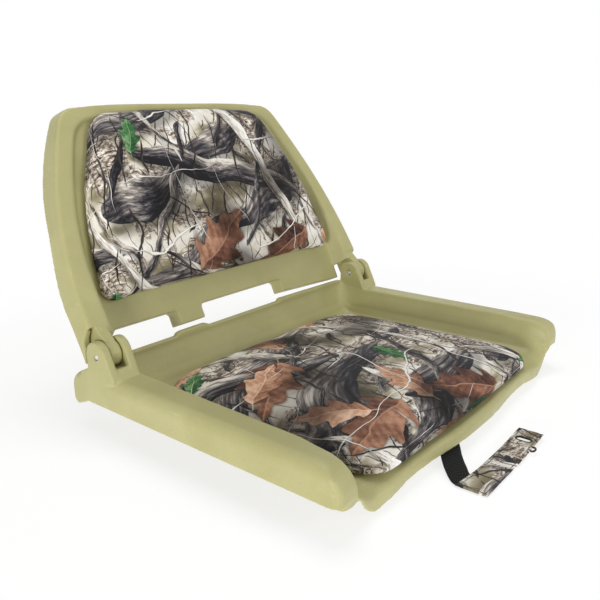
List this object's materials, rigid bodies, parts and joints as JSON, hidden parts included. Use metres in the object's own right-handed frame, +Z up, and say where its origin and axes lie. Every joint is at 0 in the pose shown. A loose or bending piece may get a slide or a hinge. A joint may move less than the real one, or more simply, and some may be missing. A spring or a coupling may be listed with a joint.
{
  "type": "folding_boat_seat",
  "caption": "Low-back folding boat seat with moulded khaki shells, camouflage vinyl cushions and a hold-down strap",
  "frame": {"origin": "middle of the square bolt pattern, on the flat underside that stands on the pedestal plate", "axes": "+X to the sitter's left, -Y to the front, +Z up"},
  "size_m": [0.46, 0.4965, 0.322],
  "materials": {
    "moulded_shell": "matte",
    "cushion_cover": "matte",
    "cushion_foam": "matte",
    "cushion_board": "matte",
    "stainless": "brushed",
    "insert_brass": "satin",
    "webbing": "matte",
    "loop_cord": "matte"
  },
  "bodies": {
    "seat": {"seat_shell": "moulded_shell", "hinge_pin_left": "stainless", "hinge_pin_right": "stainless", "seat_cushion_cover": "cushion_cover", "seat_cushion_foam": "cushion_foam", "seat_cushion_board": "cushion_board", "seat_cushion_screw_1": "stainless", "seat_cushion_screw_2": "stainless", "seat_cushion_screw_3": "stainless", "seat_cushion_screw_4": "stainless", "seat_cushion_nut_1": "stainless", "seat_cushion_nut_2": "stainless", "seat_cushion_nut_3": "stainless", "seat_cushion_nut_4": "stainless", "mounting_insert_1": "insert_brass", "mounting_insert_2": "insert_brass", "mounting_insert_3": "insert_brass", "mounting_insert_4": "insert_brass", "strap_webbing": "webbing", "strap_sleeve": "cushion_cover", "strap_loop": "loop_cord", "strap_washer": "stainless", "strap_screw": "stainless"},
    "back": {"back_shell": "moulded_shell", "back_cushion_cover": "cushion_cover", "back_cushion_foam": "cushion_foam", "back_cushion_board": "cushion_board", "back_cushion_screw_1": "stainless", "back_cushion_screw_2": "stainless", "back_cushion_screw_3": "stainless", "back_cushion_screw_4": "stainless", "back_cushion_nut_1": "stainless", "back_cushion_nut_2": "stainless", "back_cushion_nut_3": "stainless", "back_cushion_nut_4": "stainless"}
  },
  "joints": [
    {"name": "back_fold", "type": "hinge", "parent": "seat", "child": "back", "pos_m": [0, 0.133, 0.084], "axis": [1, 0, 0], "range_deg": [0, 115]}
  ]
}
